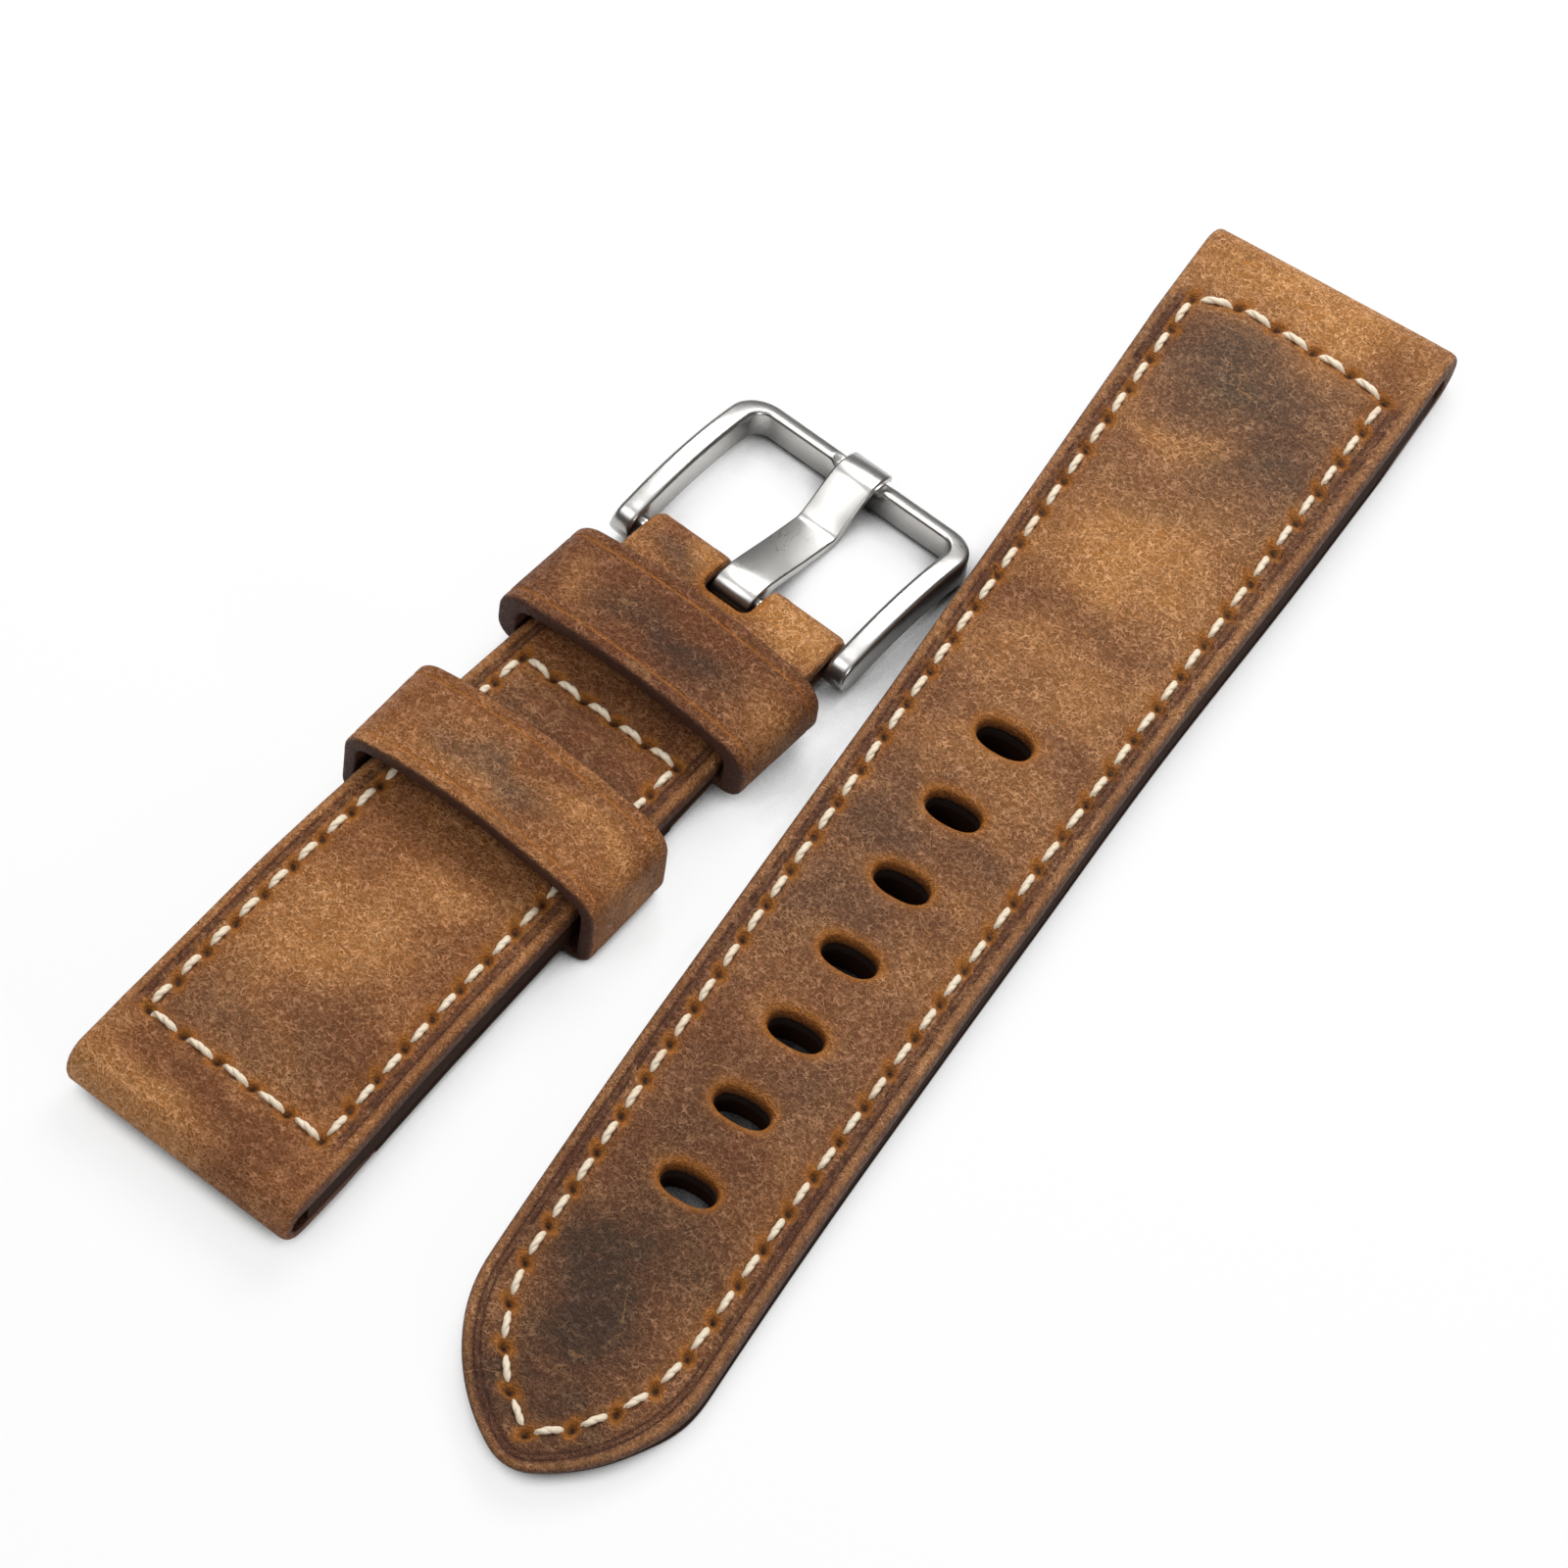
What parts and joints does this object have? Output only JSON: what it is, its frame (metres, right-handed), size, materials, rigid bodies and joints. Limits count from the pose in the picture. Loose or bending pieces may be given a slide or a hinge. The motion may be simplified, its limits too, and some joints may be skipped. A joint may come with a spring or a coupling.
{
  "type": "leather watch strap",
  "caption": "Two-piece padded leather watch strap with contrast stitching, tongue buckle on a spring bar, one fixed and one sliding keeper.",
  "frame": {"origin": "middle of the buckle half's lug bore, on its axis", "axes": "+X along that bore, +Y toward the buckle, +Z out of the strap's face (up as it lies on a table)"},
  "size_m": [0.0579, 0.1349, 0.0105],
  "materials": {
    "long_upper": "oiled, distressed, semi-matte",
    "long_pad": "pressed felt",
    "long_fill": "bonded leather board",
    "long_tape": "woven non-stretch tape",
    "long_lining": "smooth calf",
    "long_thread": "waxed twisted thread",
    "short_upper": "oiled, distressed, semi-matte",
    "short_pad": "pressed felt",
    "short_fill": "bonded leather board",
    "short_tape": "woven non-stretch tape",
    "short_lining": "smooth calf",
    "short_thread": "waxed twisted thread",
    "fixed_keeper": "oiled, creased edges",
    "free_keeper": "oiled, creased edges",
    "frame_steel": "satin",
    "tongue_steel": "satin",
    "tube_steel": "satin",
    "pin_steel_left": "satin",
    "pin_steel_right": "satin",
    "spring_steel": "satin"
  },
  "bodies": {
    "buckle_half": {"short_top_leather": "short_upper", "short_padding": "short_pad", "short_filler": "short_fill", "short_reinforcement": "short_tape", "short_lining": "short_lining", "short_stitching": "short_thread", "fixed_keeper": "fixed_keeper", "bar_tube": "tube_steel", "bar_spring": "spring_steel"},
    "buckle": {"buckle_frame": "frame_steel"},
    "tongue": {"buckle_tongue": "tongue_steel"},
    "sliding_keeper": {"free_keeper": "free_keeper"},
    "pin_left": {"bar_pin_left": "pin_steel_left"},
    "pin_right": {"bar_pin_right": "pin_steel_right"},
    "long_half": {"long_top_leather": "long_upper", "long_padding": "long_pad", "long_filler": "long_fill", "long_reinforcement": "long_tape", "long_lining": "long_lining", "long_stitching": "long_thread"}
  },
  "joints": [
    {"name": "buckle_swing", "type": "hinge", "parent": "buckle_half", "child": "buckle", "pos_m": [0, 0.07, -0.001], "axis": [1, 0, 0], "range_deg": [-80, 15]},
    {"name": "tongue_swing", "type": "hinge", "parent": "buckle", "child": "tongue", "pos_m": [0, 0.07, -0.001], "axis": [1, 0, 0], "range_deg": [0, 90]},
    {"name": "keeper_slide", "type": "slide", "parent": "buckle_half", "child": "sliding_keeper", "axis": [0, 1, 0], "range_m": [-0.006, 0.0094]},
    {"name": "pin_left_press", "type": "slide", "parent": "buckle_half", "child": "pin_left", "axis": [1, 0, 0], "range_m": [0, 0.0013], "stiffness_N_per_m": 400, "springref_m": -0.001, "deforming": ["bar_spring"]},
    {"name": "pin_right_press", "type": "slide", "parent": "buckle_half", "child": "pin_right", "axis": [-1, 0, 0], "range_m": [0, 0.0013], "stiffness_N_per_m": 400, "springref_m": -0.001, "deforming": ["bar_spring"]},
    {"name": "long_half_lift", "type": "slide", "parent": "buckle_half", "child": "long_half", "axis": [0, 0, 1], "range_m": [0, 0.03]}
  ]
}
